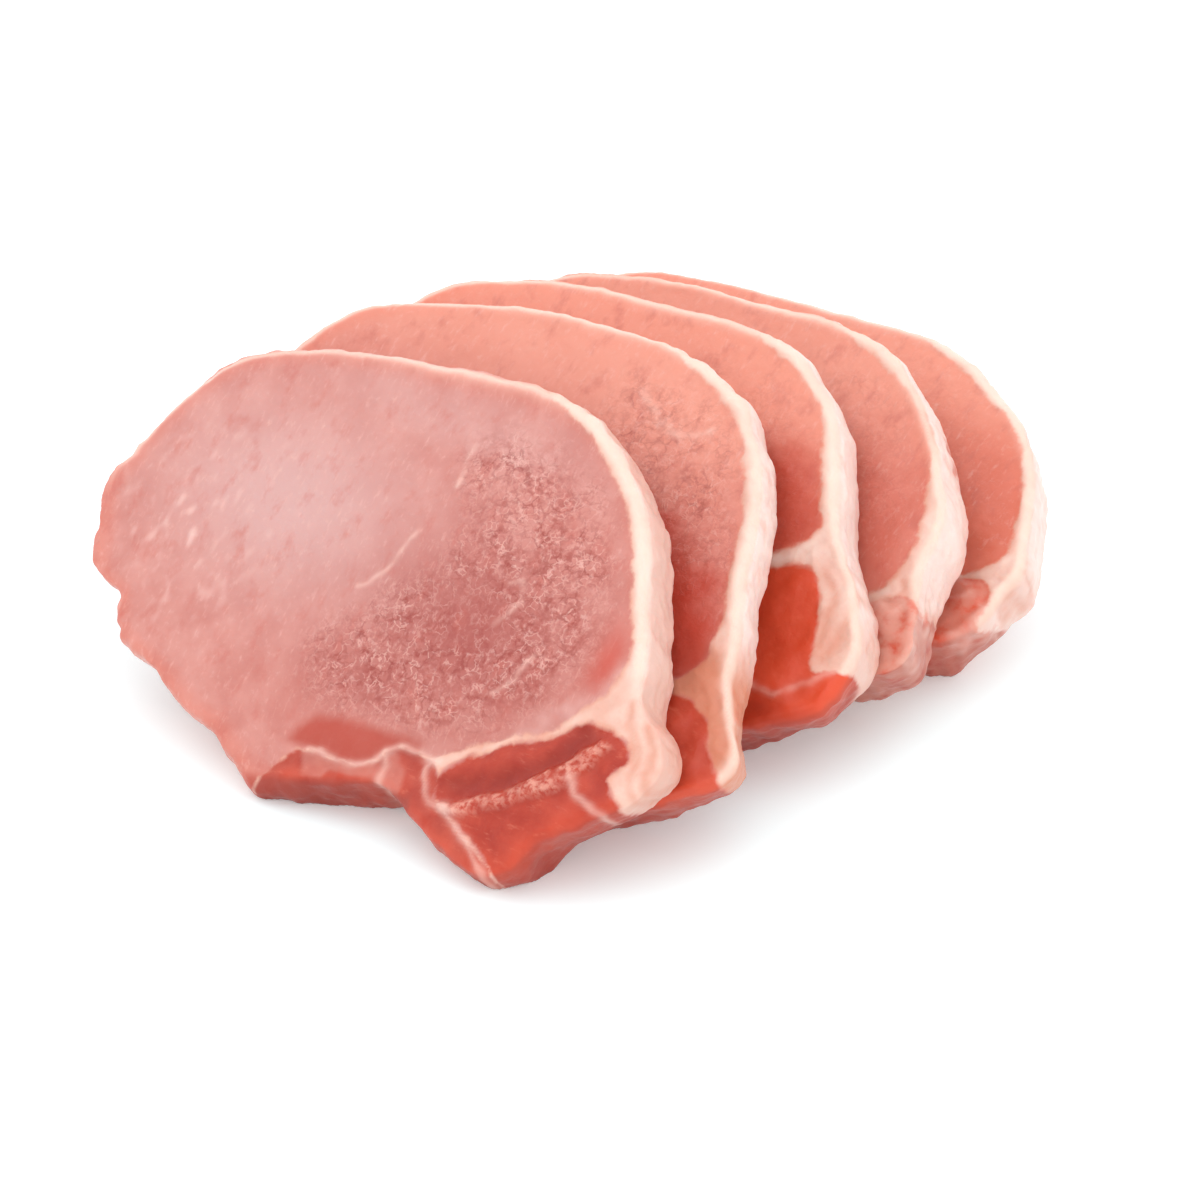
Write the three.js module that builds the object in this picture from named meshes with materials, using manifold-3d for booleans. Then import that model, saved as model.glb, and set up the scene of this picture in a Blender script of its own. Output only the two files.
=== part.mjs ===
// Five slices of one raw boneless pork loin, standing in the order they were cut. Each slice leans
// back against the next one, and its soft lower edge is pressed flat by the surface it stands on.
// Millimetres, +Z up. The row recedes along +Y, and the cut faces look towards -Y.
//
// Every slice has the same three kinds of flesh: the large loin eye, the small side muscle at its
// foot, and the fat that rims the eye and runs between the two.

import * as THREE from "three";
import { mergeVertices } from "three/addons/utils/BufferGeometryUtils.js";
import Module from "manifold-3d";

const GAP = 0.3; // between fat and muscle
const RIM_RADIUS = 1.5; // rounding of a slice's cut edge
const RIM_SHOULDER = 0.3; // share of that radius that the rounding's middle point is set in
const SIDE_BULGE = 0.35; // swelling of the skin side between the two cut faces
const BACK_INSET = 1.4; // the back face is this much smaller all round
const TAIL_INSET = 3; // and this much more behind the side muscle
const WAVE_HEIGHT = 0.18; // of each of the three soft waves on the cut faces
const WAVE_LENGTHS = [7.3, 5.9, 8.7]; // of those waves: across, up and aslant
const WAVE_SHIFT = 1.3; // how far they are shifted from one slice to the next
const WOBBLE = 0.3; // how much the slices' edges differ from each other
const WOBBLE_COUNTS = [5, 9]; // bumps of the two wobbles round an edge
const WOBBLE_SHIFTS = [2.1, 4.7]; // how far they are shifted from one slice to the next
const EYE_DOME = 0.7; // how far the eye swells out of the cut face
const TAIL_DOME = 1.3; // how far the side muscle swells out
const SEAM_DEPTH = 0.7; // how far the seam between the muscles sinks in
const FLAT_BELOW = 1.4; // flesh lower than this over the surface sags flat onto it
const SAG_REACH = 5; // and the sag dies out at this height
const TAIL_LEVEL = -14; // the side muscle's stretch begins below this height
const TAIL_STRETCH_FADE = [10, 12, 12]; // it fades in over these: height, then start and width

// The front slice's outline on its cut face, from the lean end at the left and along the foot, then
// over the top from right to left. Between them each slice has a side of its own.
const OUTLINE_FOOT = [
  [-57.7, -1.6], [-55.5, -6.8], [-52.2, -14], [-46, -18.4], [-43.4, -22.2], [-37.5, -25.2],
  [-30.5, -27.7], [-24.7, -30.5], [-19.5, -31.4], [-12.3, -34.8], [-6.3, -37.2], [0, -35.4],
  [6.8, -33], [16.1, -30.2], [22.5, -32.9], [31, -35.8], [37.4, -37],
];
const OUTLINE_TOP = [
  [29.6, 29.8], [21.6, 34.2], [10.4, 35.9], [-4.6, 34.7], [-19.7, 32.9], [-33.2, 29.5],
  [-44.3, 25.1], [-49.3, 19.2], [-52.7, 10.6], [-55.6, 3],
];
const OUTLINE_MIDDLE = [5, -2];
const OUTLINE_HEIGHT = 70; // the height that a slice's bend is measured over
const OUTLINE_STEPS = 58;

// The ends of the eye's edge against the fat, outside the slice. Beyond them lies the lean side.
const EYE_START = [[9, -50], [9.8, -31]];
const EYE_END = [[9, 35.6], [-2, 38], [-8, 50]];
const EYE_OUTSIDE = [[-80, 50], [-80, -50]];
const EYE_STEPS = 26;

// The lower stretch of the side muscle's edge, outside the slice.
const TAIL_FOOT = [[39.8, -35.2], [42, -40], [47, -47], [57, -42]];
const TAIL_STEPS = 26;

// One entry for each slice, front to back. Place is the middle of its front face, width and height
// are shares of the front slice, tail stretches the side muscle, and bend is the turn of the slice
// from foot to top as it droops over the one behind. Side is the outline round the side muscle and up
// the fat, eye runs from the seam under the loin eye up its fat rim, and tailTop runs from the side
// muscle's foot up its right side and back along the seam.
const SLICES = [
  {
    place: [-41.7, 0.2, 31], lean: 44, yaw: 0, roll: 0, bend: 6,
    width: 1, height: 1, skew: 0, thick: 11.5, tail: 1,
    side: [
      [43.4, -34.6], [46.2, -29.6], [53.2, -23], [57.8, -18.4], [59.6, -12.5], [56.4, -7.4],
      [52, -4.8], [49.8, 1.2], [46.1, 9], [41.4, 17.4], [35.8, 24.8],
    ],
    eye: [
      [13, -26.2], [17.9, -23.6], [22.2, -22.4], [26.2, -20], [32.9, -15.7], [39.2, -11.7],
      [41.5, -8.7], [45, -3.9], [46.6, 0.3], [43.2, 8], [38.6, 16.5], [34.4, 21.8],
      [29.8, 26], [23.2, 30.8], [16.5, 33.7],
    ],
    tailTop: [
      [65, -29], [58.8, -22], [52.5, -17.3], [53.8, -12.6], [49.5, -10], [45, -10.2],
      [39.8, -13.8], [35.5, -16.6], [29.9, -20.4], [26.4, -22.8], [24.7, -25.6], [25.7, -28.2],
      [29, -30.4], [35, -32.6],
    ],
  },
  {
    place: [-41.2, 22.8, 31.5], lean: 50, yaw: 1.1, roll: -3.9, bend: 6,
    width: 0.97, height: 1.07, skew: 0.08, thick: 10.2, tail: 1,
    side: [
      [44, -35.5], [53, -31], [61, -25.5], [66, -20.5], [66.4, -17], [61.6, -12.2],
      [57, -7.2], [53.6, -1.4], [50.2, 4.4], [47.6, 9.8], [43, 18.2], [37, 24.8],
    ],
    eye: [
      [14, -25.5], [24, -21.5], [36, -16], [45, -11.5], [49.5, -8.3], [50.4, -4.7],
      [48.8, 0.7], [44.8, 7.9], [40.9, 15.3], [37.6, 19.4], [32.9, 25.8], [26.5, 29.9],
      [18.1, 32.9],
    ],
    tailTop: [
      [70, -33], [67.5, -24], [63.5, -19.2], [61.2, -17.2], [58, -14.2], [53.7, -12],
      [48.5, -12.2], [42, -15.5], [35, -19.5], [28, -24], [30, -30], [35, -32.6],
    ],
  },
  {
    place: [-38.6, 42.8, 30.1], lean: 46.5, yaw: 3.3, roll: -3.5, bend: 7,
    width: 0.95, height: 0.99, skew: 0.09, thick: 11.8, tail: 0.83,
    side: [
      [44, -35.5], [50, -31], [57, -25.5], [61.5, -20], [63, -13], [62.4, -7],
      [60.3, -3.2], [56.6, 1.6], [52, 5], [48.8, 8], [45.6, 12.6], [41, 19], [36.5, 24.8],
    ],
    eye: [
      [14, -22], [22, -14], [32, -4], [39, 1.5], [42.5, 4.3], [44.3, 8.4], [41.9, 12.4],
      [39.1, 17.1], [36, 21.7], [32.8, 25.8], [27, 29.8], [19.1, 32.6],
    ],
    tailTop: [
      [66, -28], [67, -18], [64.5, -11.5], [60.5, -12.5], [57, -13.4], [55, -9.5], [53, -5.6],
      [50.8, -1.4], [48.2, 1.2], [44.5, 1.6], [40.5, -1], [35.5, -6], [30, -12], [26, -20],
      [29, -30.4], [35, -32.6],
    ],
  },
  {
    place: [-36.2, 66, 27.4], lean: 49, yaw: -4.1, roll: -0.2, bend: 9,
    width: 0.99, height: 0.87, skew: 0.12, thick: 12.5, tail: 0.68,
    side: [
      [44, -35.5], [52, -31.5], [59, -24.5], [61.4, -19], [60.6, -15.6], [58.6, -12.3],
      [56.4, -8.5], [55, -5], [53.8, -1.5], [52.6, 3], [50.2, 8.3], [46.8, 13.4],
      [42.6, 19], [37, 24.8],
    ],
    eye: [
      [14, -25.5], [24, -21.5], [36, -16], [46.4, -11], [49, -7.6], [49.2, 0.9],
      [46.5, 7.6], [43.4, 14.2], [40.7, 18.7], [37.9, 22.2], [34.5, 25], [27.3, 29],
      [21.5, 31.4],
    ],
    tailTop: [
      [64, -31], [66, -19], [64, -13.5], [60.5, -12.9], [57.1, -9.8], [54.2, -8.4],
      [51.5, -9.6], [48, -12], [42, -15.5], [35, -19.5], [28, -24], [30, -30], [35, -32.6],
    ],
  },
  {
    place: [-33.9, 88.2, 24.8], lean: 57.5, yaw: -1, roll: -3.4, bend: 24,
    width: 1.01, height: 0.74, skew: 0.13, thick: 11.7, tail: 1.17,
    side: [
      [44, -35.5], [50.5, -32], [55.5, -28.2], [58, -23.5], [58.6, -19], [58, -14.5],
      [57.2, -9.5], [55.6, -5], [54, -0.5], [51.6, 5], [48.4, 11], [43.6, 17.6], [37, 24.8],
    ],
    eye: [
      [14, -27], [26, -24], [38, -19.5], [46, -16.5], [50.9, -11.9], [52.4, -7.5],
      [51.6, -2.4], [49.1, 3.5], [46.3, 9.4], [42.2, 16.2], [38, 21.4], [34.3, 24.4],
      [31, 26.2], [22, 30.6],
    ],
    tailTop: [
      [60, -36], [57.5, -27.5], [57.2, -21.5], [56.2, -17.3], [54, -14.4], [50.8, -14],
      [47.5, -17], [43, -20], [38, -23.5], [30, -27.5], [33, -31], [36, -33],
    ],
  },
];

const EYE_HILL = { middle: [-5, 2], reach: [38, 24] }; // where the eye swells
const TAIL_HILL = { middle: [43, -25], reach: [15, 11] }; // where the side muscle swells
const TAIL_CORNER = { across: [20, 48], down: [2, 20] }; // where the back shrinks behind it
const SEAM = [[18, -24], [46, -8]]; // the seam's two ends
const SEAM_REACH = 4;
const PRISM_REACH = 30; // how far a cutting outline is drawn out to each side of the cut face

// Rings of the front face, as shares of the way from its middle to the rim.
const FACE_RINGS = [0, 0.44, 0.8];

const wasm = await Module();
wasm.setup();

function degrees(angle) {
  return THREE.MathUtils.degToRad(angle);
}

function smoothstep(x, from, to) {
  return THREE.MathUtils.smoothstep(x, from, to);
}

// Moves a point of the front slice's cut face to where it lies on another slice.
function onSlice([u, v], slice) {
  const x = u * slice.width;
  const y = v * slice.height;
  const [fall, start, run] = TAIL_STRETCH_FADE;
  const low = THREE.MathUtils.clamp((TAIL_LEVEL - y) / fall, 0, 1);
  const right = THREE.MathUtils.clamp((x - start) / run, 0, 1);
  const lifted = y + low * right * (1 - slice.tail) * (TAIL_LEVEL - y);
  return new THREE.Vector2(x + slice.skew * lifted, lifted);
}

// A smooth line through the points of a cut face, open or closed.
function smoothLine(points, slice, steps, closed) {
  const knots = points.map((point) => {
    const { x, y } = onSlice(point, slice);
    return new THREE.Vector3(x, y, 0);
  });
  const line = new THREE.CatmullRomCurve3(knots, closed, "centripetal").getPoints(steps);
  return closed ? line.slice(0, -1) : line;
}

// Small differences between one slice's edge and the next, none on the front slice.
function wobble(turn, number) {
  const [broad, narrow] = WOBBLE_COUNTS.map((count, index) => {
    return WOBBLE * Math.sin(count * turn + WOBBLE_SHIFTS[index] * number);
  });
  return Math.min(number, 1) * (broad + narrow);
}

// The slice's outline as points with the outward direction from its middle.
function rimPoints(slice, number) {
  const middle = onSlice(OUTLINE_MIDDLE, slice);
  const outline = [...OUTLINE_FOOT, ...slice.side, ...OUTLINE_TOP];
  return smoothLine(outline, slice, OUTLINE_STEPS, true).map((point, index) => {
    const spoke = new THREE.Vector2(point.x - middle.x, point.y - middle.y);
    const length = spoke.length() + wobble((2 * Math.PI * index) / OUTLINE_STEPS, number);
    return { middle, spoke: spoke.normalize(), length };
  });
}

// The rows of a slice's surface from the middle of its front face round the rim to the middle of
// its back face: share of the spoke, inset from the rim, and depth behind the front face.
function surfaceRows(thick) {
  const r = RIM_RADIUS;
  const shoulder = RIM_SHOULDER * r;
  const front = FACE_RINGS.map((share) => ({ share, inset: r, depth: 0 }));
  const side = [
    { share: 1, inset: r, depth: 0 },
    { share: 1, inset: shoulder, depth: shoulder },
    { share: 1, inset: 0, depth: r },
    { share: 1, inset: -SIDE_BULGE, depth: thick / 2 },
    { share: 1, inset: 0, depth: thick - r },
    { share: 1, inset: shoulder, depth: thick - shoulder },
    { share: 1, inset: r, depth: thick },
  ];
  const back = FACE_RINGS.map((share) => ({ share, inset: r, depth: thick })).reverse();
  return [...front, ...side, ...back];
}

// How much smaller the slice is at a depth, and more so behind the side muscle.
function taper(u, v, depth, slice) {
  const { across, down } = TAIL_CORNER;
  const behindTail = smoothstep(u, ...across) * smoothstep(-v, ...down);
  return (depth / slice.thick) * (BACK_INSET + TAIL_INSET * behindTail);
}

function hill(u, v, { middle: [midU, midV], reach: [reachU, reachV] }) {
  return Math.exp(-(((u - midU) / reachU) ** 2) - ((v - midV) / reachV) ** 2);
}

function seamDistance(u, v) {
  const seam = new THREE.Line3(...SEAM.map(([x, y]) => new THREE.Vector3(x, y, 0)));
  const point = new THREE.Vector3(u, v, 0);
  const nearest = seam.closestPointToPoint(point, true, new THREE.Vector3());
  return nearest.distanceTo(point);
}

// Soft waves of no one direction.
function waves(u, v, seed) {
  const [acrossLength, upLength, aslantLength] = WAVE_LENGTHS;
  const across = Math.sin(u / acrossLength + seed);
  const up = Math.sin(v / upLength + 2 * seed);
  const aslant = Math.sin((u + v) / aslantLength + 3 * seed);
  return WAVE_HEIGHT * (across + up + aslant);
}

// Height of the cut face over its plane: the two muscles swell, the seam between them sinks.
function faceHeight(u, v, seed) {
  const eye = EYE_DOME * hill(u, v, EYE_HILL);
  const tail = TAIL_DOME * hill(u, v, TAIL_HILL);
  const seam = SEAM_DEPTH * Math.exp(-((seamDistance(u, v) / SEAM_REACH) ** 2));
  return eye + tail - seam + waves(u, v, seed);
}

function poseMatrix(slice) {
  const turn = new THREE.Matrix4().makeRotationZ(degrees(slice.yaw));
  turn.multiply(new THREE.Matrix4().makeRotationX(degrees(90 - slice.lean)));
  turn.multiply(new THREE.Matrix4().makeRotationZ(degrees(slice.roll)));
  return turn.setPosition(...slice.place);
}

// Height over the surface once the soft foot has sagged onto it.
function sagged(height) {
  if (height >= SAG_REACH) {
    return height;
  }
  return (Math.max(height - FLAT_BELOW, 0) * SAG_REACH) / (SAG_REACH - FLAT_BELOW);
}

// The whole slice as one closed body, bent, leaning and pressed flat where it meets the surface.
function sliceBody(slice, number) {
  const rim = rimPoints(slice, number);
  const rows = surfaceRows(slice.thick);
  const geometry = new THREE.SphereGeometry(1, OUTLINE_STEPS, rows.length - 1);
  const position = geometry.attributes.position;
  const pose = poseMatrix(slice);
  const curvature = degrees(slice.bend) / OUTLINE_HEIGHT;
  for (let i = 0; i < position.count; i += 1) {
    const { share, inset, depth } = rows[Math.floor(i / (OUTLINE_STEPS + 1))];
    const { middle, spoke, length } = rim[(i % (OUTLINE_STEPS + 1)) % OUTLINE_STEPS];
    const edge = middle.clone().addScaledVector(spoke, length);
    const reach = share * (length - inset - taper(edge.x, edge.y, depth, slice));
    const u = middle.x + spoke.x * reach;
    const v = middle.y + spoke.y * reach;
    const facing = 1 - (2 * depth) / slice.thick;
    const swell = facing * faceHeight(u, v, WAVE_SHIFT * number + depth);
    const point = new THREE.Vector3(u, v, swell - depth - (curvature * v * v) / 2);
    point.applyMatrix4(pose);
    position.setXYZ(i, point.x, point.y, sagged(point.z));
  }
  return solid(geometry);
}

// A closed geometry as a body that can be cut.
function solid(geometry) {
  const bare = geometry.clone();
  bare.deleteAttribute("normal");
  bare.deleteAttribute("uv");
  const merged = mergeVertices(bare, 1e-4);
  return new wasm.Manifold(
    new wasm.Mesh({
      numProp: 3,
      vertProperties: new Float32Array(merged.attributes.position.array),
      triVerts: new Uint32Array(merged.index.array),
    }),
  );
}

// Moves each point of a closed line outwards, seen in the order that runs anticlockwise.
function grown(line, distance) {
  return line.map((point, index) => {
    const before = line.at(index - 1);
    const after = line[(index + 1) % line.length];
    const along = new THREE.Vector2(after.x - before.x, after.y - before.y).normalize();
    return new THREE.Vector2(point.x + along.y * distance, point.y - along.x * distance);
  });
}

// A line of the cut face drawn out through the slice.
function prism(line, slice) {
  const shape = new THREE.Shape(line.map(({ x, y }) => new THREE.Vector2(x, y)));
  const geometry = new THREE.ExtrudeGeometry(shape, { depth: 2 * PRISM_REACH, bevelEnabled: false });
  geometry.translate(0, 0, -PRISM_REACH);
  return solid(geometry.applyMatrix4(poseMatrix(slice)));
}

function eyeLine(slice) {
  const edge = smoothLine([...EYE_START, ...slice.eye, ...EYE_END], slice, EYE_STEPS, false);
  return [...edge, ...EYE_OUTSIDE.map((point) => onSlice(point, slice))];
}

function tailLine(slice) {
  return smoothLine([...TAIL_FOOT, ...slice.tailTop], slice, TAIL_STEPS, true);
}

function meshOf(body, name, material) {
  const { vertProperties, triVerts } = body.getMesh();
  const geometry = new THREE.BufferGeometry();
  geometry.setAttribute("position", new THREE.Float32BufferAttribute(vertProperties, 3));
  geometry.setIndex(new THREE.Uint32BufferAttribute(triVerts, 1));
  geometry.computeVertexNormals();
  const mesh = new THREE.Mesh(geometry, material);
  mesh.name = name;
  return mesh;
}

function loinMeat() {
  return new THREE.MeshStandardMaterial({ color: 0xe09a90, roughness: 0.42, metalness: 0 });
}

function sideMeat() {
  return new THREE.MeshStandardMaterial({ color: 0xc9503f, roughness: 0.35, metalness: 0 });
}

function backFat() {
  return new THREE.MeshStandardMaterial({ color: 0xf4dcd2, roughness: 0.4, metalness: 0 });
}

function sliceParts(slice, index) {
  const body = sliceBody(slice, index);
  const eye = eyeLine(slice);
  const tail = tailLine(slice);
  const fat = body.subtract(prism(grown(eye, GAP), slice)).subtract(prism(grown(tail, GAP), slice));
  const name = `slice_${index + 1}`;
  const group = new THREE.Group();
  group.add(meshOf(body.intersect(prism(eye, slice)), `${name}_eye`, loinMeat()));
  group.add(meshOf(fat, `${name}_fat`, backFat()));
  group.add(meshOf(body.intersect(prism(tail, slice)), `${name}_side_muscle`, sideMeat()));
  return group;
}

const row = new THREE.Group();
SLICES.forEach((slice, index) => row.add(sliceParts(slice, index)));

// The origin is the middle of the row's footprint box, on the surface it stands on.
const middle = new THREE.Box3().setFromObject(row).getCenter(new THREE.Vector3());
row.position.set(-middle.x, -middle.y, 0);

export default row;
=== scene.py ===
from itertools import product

import bmesh
import bpy
import numpy as np
from mathutils import Matrix, Vector
from math import cos, radians, sin


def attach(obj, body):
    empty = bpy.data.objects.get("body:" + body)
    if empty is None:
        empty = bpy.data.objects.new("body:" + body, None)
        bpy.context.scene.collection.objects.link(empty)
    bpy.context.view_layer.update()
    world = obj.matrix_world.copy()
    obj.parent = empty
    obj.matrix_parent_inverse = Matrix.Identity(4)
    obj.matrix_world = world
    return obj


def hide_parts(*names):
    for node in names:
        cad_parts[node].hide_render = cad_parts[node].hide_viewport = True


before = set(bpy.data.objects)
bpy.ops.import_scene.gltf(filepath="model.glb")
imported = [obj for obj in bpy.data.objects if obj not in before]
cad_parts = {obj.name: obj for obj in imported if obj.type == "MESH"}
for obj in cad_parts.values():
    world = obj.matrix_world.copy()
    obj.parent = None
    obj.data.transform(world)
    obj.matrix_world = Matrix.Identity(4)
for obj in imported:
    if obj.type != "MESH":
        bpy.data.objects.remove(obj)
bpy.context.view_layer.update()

# Five slices of one raw boneless pork loin. A long knife stroke leaves each cut face nearly flat,
# then the flesh relaxes: the two muscles swell, the seam between them sinks, the foot spreads on
# the surface it stands on. Sizes are millimetres on the slice's own cut face until it is placed.
MM = 0.001
ROW_SHIFT = Vector((38.329, -45.688, 0))
RIM_RADIUS = 1.5
SIDE_BULGE = 0.35
BACK_INSET = 1.4
TAIL_INSET = 3
WAVE_HEIGHT = 0.18
EYE_DOME = 0.7
TAIL_DOME = 1.3
SEAM_DEPTH = 0.7
SEAM_REACH = 4
FLAT_BELOW = 1.4
SAG_REACH = 5
TAIL_LEVEL = -14
FOOT_FADE = 10
FOOT_START = 12
FOOT_WIDENS = 12
LIFT_ROUNDS = 8
WAVE_LENGTHS = (7.3, 5.9, 8.7)
WOBBLE = 0.3
WOBBLE_COUNTS = (5, 9)
WOBBLE_SHIFTS = (2.1, 4.7)
RIM_STEPS = 4
RELAXING = 6
OUTLINE_HEIGHT = 70
OUTLINE_MIDDLE = (5, -2)
OUTLINE_FOOT = [
    (-57.7, -1.6), (-55.5, -6.8), (-52.2, -14), (-46, -18.4), (-43.4, -22.2), (-37.5, -25.2),
    (-30.5, -27.7), (-24.7, -30.5), (-19.5, -31.4), (-12.3, -34.8), (-6.3, -37.2), (0, -35.4),
    (6.8, -33), (16.1, -30.2), (22.5, -32.9), (31, -35.8), (37.4, -37),
]
OUTLINE_TOP = [
    (29.6, 29.8), (21.6, 34.2), (10.4, 35.9), (-4.6, 34.7), (-19.7, 32.9), (-33.2, 29.5),
    (-44.3, 25.1), (-49.3, 19.2), (-52.7, 10.6), (-55.6, 3),
]
EYE_START = [(9, -50), (9.8, -31)]
EYE_END = [(9, 35.6), (-2, 38), (-8, 50)]
EYE_OUTSIDE = [(-80, 50), (-80, -50)]
TAIL_FOOT = [(39.8, -35.2), (42, -40), (47, -47), (57, -42)]
SEAM = [(18, -24), (46, -8)]
SLICES = [
    {
        "place": (-41.7, 0.2, 31), "lean": 44, "yaw": 0, "roll": 0, "bend": 6,
        "width": 1, "height": 1, "skew": 0, "thick": 11.5, "stretch": 1,
        "grain": 0.43,
        "side": [
            (43.4, -34.6), (46.2, -29.6), (53.2, -23), (57.8, -18.4), (59.6, -12.5), (56.4, -7.4),
            (52, -4.8), (49.8, 1.2), (46.1, 9), (41.4, 17.4), (35.8, 24.8),
        ],
        "eye": [
            (13, -26.2), (17.9, -23.6), (22.2, -22.4), (26.2, -20), (32.9, -15.7), (39.2, -11.7),
            (41.5, -8.7), (45, -3.9), (46.6, 0.3), (43.2, 8), (38.6, 16.5), (34.4, 21.8),
            (29.8, 26), (23.2, 30.8), (16.5, 33.7),
        ],
        "tail": [
            (65, -29), (58.8, -22), (52.5, -17.3), (53.8, -12.6), (49.5, -10), (45, -10.2),
            (39.8, -13.8), (35.5, -16.6), (29.9, -20.4), (26.4, -22.8), (24.7, -25.6),
            (25.7, -28.2), (29, -30.4), (35, -32.6),
        ],
    },
    {
        "place": (-41.2, 22.8, 31.5), "lean": 50, "yaw": 1.1, "roll": -3.9, "bend": 6,
        "width": 0.97, "height": 1.07, "skew": 0.08, "thick": 10.2, "stretch": 1,
        "grain": 0.46,
        "side": [
            (44, -35.5), (53, -31), (61, -25.5), (66, -20.5), (66.4, -17), (61.6, -12.2),
            (57, -7.2), (53.6, -1.4), (50.2, 4.4), (47.6, 9.8), (43, 18.2), (37, 24.8),
        ],
        "eye": [
            (14, -25.5), (24, -21.5), (36, -16), (45, -11.5), (49.5, -8.3), (50.4, -4.7),
            (48.8, 0.7), (44.8, 7.9), (40.9, 15.3), (37.6, 19.4), (32.9, 25.8), (26.5, 29.9),
            (18.1, 32.9),
        ],
        "tail": [
            (70, -33), (67.5, -24), (63.5, -19.2), (61.2, -17.2), (58, -14.2), (53.7, -12),
            (48.5, -12.2), (42, -15.5), (35, -19.5), (28, -24), (30, -30), (35, -32.6),
        ],
    },
    {
        "place": (-38.6, 42.8, 30.1), "lean": 46.5, "yaw": 3.3, "roll": -3.5, "bend": 7,
        "width": 0.95, "height": 0.99, "skew": 0.09, "thick": 11.8, "stretch": 0.83,
        "grain": 0.46,
        "side": [
            (44, -35.5), (50, -31), (57, -25.5), (61.5, -20), (63, -13), (62.4, -7), (60.3, -3.2),
            (56.6, 1.6), (52, 5), (48.8, 8), (45.6, 12.6), (41, 19), (36.5, 24.8),
        ],
        "eye": [
            (14, -22), (22, -14), (32, -4), (39, 1.5), (42.5, 4.3), (44.3, 8.4), (41.9, 12.4),
            (39.1, 17.1), (36, 21.7), (32.8, 25.8), (27, 29.8), (19.1, 32.6),
        ],
        "tail": [
            (66, -28), (67, -18), (64.5, -11.5), (60.5, -12.5), (57, -13.4), (55, -9.5),
            (53, -5.6), (50.8, -1.4), (48.2, 1.2), (44.5, 1.6), (40.5, -1), (35.5, -6), (30, -12),
            (26, -20), (29, -30.4), (35, -32.6),
        ],
    },
    {
        "place": (-36.2, 66, 27.4), "lean": 49, "yaw": -4.1, "roll": -0.2, "bend": 9,
        "width": 0.99, "height": 0.87, "skew": 0.12, "thick": 12.5, "stretch": 0.68,
        "grain": 0.46,
        "side": [
            (44, -35.5), (52, -31.5), (59, -24.5), (61.4, -19), (60.6, -15.6), (58.6, -12.3),
            (56.4, -8.5), (55, -5), (53.8, -1.5), (52.6, 3), (50.2, 8.3), (46.8, 13.4),
            (42.6, 19), (37, 24.8),
        ],
        "eye": [
            (14, -25.5), (24, -21.5), (36, -16), (46.4, -11), (49, -7.6), (49.2, 0.9),
            (46.5, 7.6), (43.4, 14.2), (40.7, 18.7), (37.9, 22.2), (34.5, 25), (27.3, 29),
            (21.5, 31.4),
        ],
        "tail": [
            (64, -31), (66, -19), (64, -13.5), (60.5, -12.9), (57.1, -9.8), (54.2, -8.4),
            (51.5, -9.6), (48, -12), (42, -15.5), (35, -19.5), (28, -24), (30, -30), (35, -32.6),
        ],
    },
    {
        "place": (-33.9, 88.2, 24.8), "lean": 57.5, "yaw": -1, "roll": -3.4, "bend": 24,
        "width": 1.01, "height": 0.74, "skew": 0.13, "thick": 11.7, "stretch": 1.17,
        "grain": 0.46,
        "side": [
            (44, -35.5), (50.5, -32), (55.5, -28.2), (58, -23.5), (58.6, -19), (58, -14.5),
            (57.2, -9.5), (55.6, -5), (54, -0.5), (51.6, 5), (48.4, 11), (43.6, 17.6), (37, 24.8),
        ],
        "eye": [
            (14, -27), (26, -24), (38, -19.5), (46, -16.5), (50.9, -11.9), (52.4, -7.5),
            (51.6, -2.4), (49.1, 3.5), (46.3, 9.4), (42.2, 16.2), (38, 21.4), (34.3, 24.4),
            (31, 26.2), (22, 30.6),
        ],
        "tail": [
            (60, -36), (57.5, -27.5), (57.2, -21.5), (56.2, -17.3), (54, -14.4), (50.8, -14),
            (47.5, -17), (43, -20), (38, -23.5), (30, -27.5), (33, -31), (36, -33),
        ],
    },
]


def step(x, low, high):
    """0 below low, 1 above high, and smooth between them."""
    share = np.clip((x - low) / (high - low), 0, 1)
    return share * share * (3 - 2 * share)


def foot_lift(x, y, cut):
    """How far points low on the right are lifted on a slice with a shorter foot."""
    low = np.clip((TAIL_LEVEL - y) / FOOT_FADE, 0, 1)
    right = np.clip((x - FOOT_START) / FOOT_WIDENS, 0, 1)
    return low * right * (1 - cut["stretch"]) * (TAIL_LEVEL - y)


def on_slice(points, cut):
    """Moves points of the front slice's cut face to where they lie on another slice."""
    x, y = (np.array(points, float) * (cut["width"], cut["height"])).T
    lifted = y + foot_lift(x, y, cut)
    return np.stack([x + cut["skew"] * lifted, lifted], axis=1)


def on_front(flat, cut):
    """Moves points of a slice's cut face back to where they lie on the front slice."""
    x = flat[:, 0] - cut["skew"] * flat[:, 1]
    y = flat[:, 1]
    for _ in range(LIFT_ROUNDS):
        y = flat[:, 1] - foot_lift(x, y, cut)
    return np.stack([x / cut["width"], y / cut["height"]], axis=1)


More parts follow.
